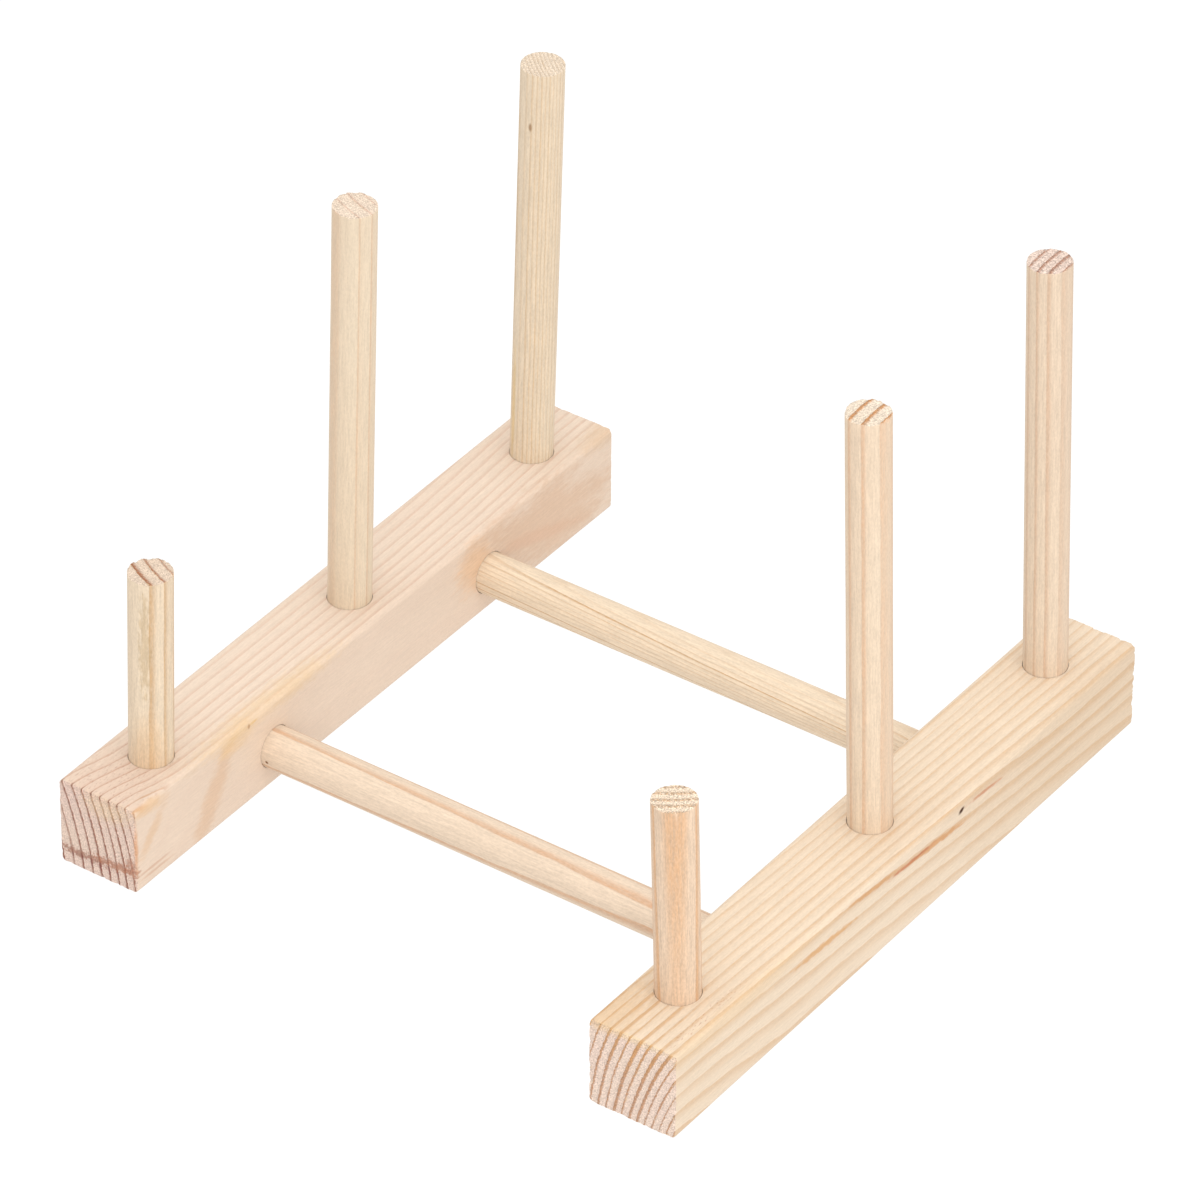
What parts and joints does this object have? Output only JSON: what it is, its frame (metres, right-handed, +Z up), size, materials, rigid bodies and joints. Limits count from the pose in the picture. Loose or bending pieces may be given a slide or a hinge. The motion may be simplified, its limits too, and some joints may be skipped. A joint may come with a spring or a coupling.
{
  "type": "plate rack",
  "caption": "Free-standing pine rack: side rails joined by round crossbars, with upright dowel pegs that hold plates on edge.",
  "frame": {"origin": "middle of the footprint, on the table", "axes": "+X to the right across the rack, along the crossbars; +Y along the rails, from the short front pegs to the rear pegs; +Z up"},
  "size_m": [0.159, 0.172, 0.1241],
  "materials": {
    "rail_pine": "bare planed pine, sawn ends",
    "peg_pine": "bare turned pine, sawn ends",
    "crossbar_pine": "bare turned pine"
  },
  "bodies": {
    "root": {"left_rail": "rail_pine", "right_rail": "rail_pine", "left_front_peg": "peg_pine", "left_middle_peg": "peg_pine", "left_rear_peg": "peg_pine", "right_front_peg": "peg_pine", "right_middle_peg": "peg_pine", "right_rear_peg": "peg_pine", "front_crossbar": "crossbar_pine", "rear_crossbar": "crossbar_pine"}
  },
  "joints": []
}
